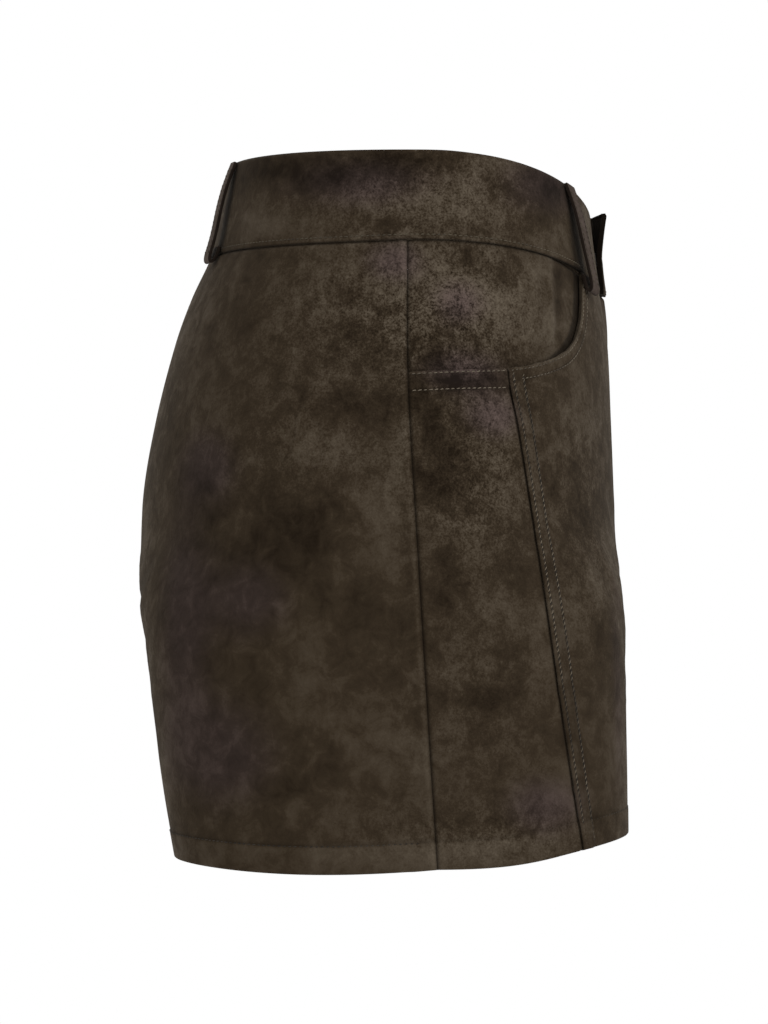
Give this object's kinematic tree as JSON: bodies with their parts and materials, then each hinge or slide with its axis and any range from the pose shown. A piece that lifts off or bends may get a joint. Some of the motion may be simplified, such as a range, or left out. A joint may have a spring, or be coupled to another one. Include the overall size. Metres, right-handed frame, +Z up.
{
  "type": "suede shorts",
  "caption": "High-waisted suede shorts with slant front pockets, belt loops and a lapped waistband, hollow and filled out as worn.",
  "frame": {"origin": "middle of the waist, halfway up the waistband at the side, where the wearer holds the shorts up", "axes": "+Z up, -Y out of the front, -X towards the wearer's right side"},
  "size_m": [0.3672, 0.2372, 0.3391],
  "materials": {
    "suede": "matte brushed nap, unevenly faded dark brown",
    "band_suede": "matte brushed nap, dark brown",
    "zip": "dark woven tape with closed metal teeth",
    "hook": "satin"
  },
  "bodies": {
    "root": {"back_right": "suede", "back_left": "suede", "side_front_right": "suede", "side_front_left": "suede", "centre_front_right": "suede", "centre_front_left": "suede", "pocket_facing_right": "suede", "pocket_facing_left": "suede", "waistband": "band_suede", "belt_loop_front_right": "band_suede", "belt_loop_front_left": "band_suede", "belt_loop_back_right": "band_suede", "belt_loop_back_left": "band_suede", "fly_zip": "zip", "fly_shield": "suede", "waist_hook": "hook"}
  },
  "joints": []
}
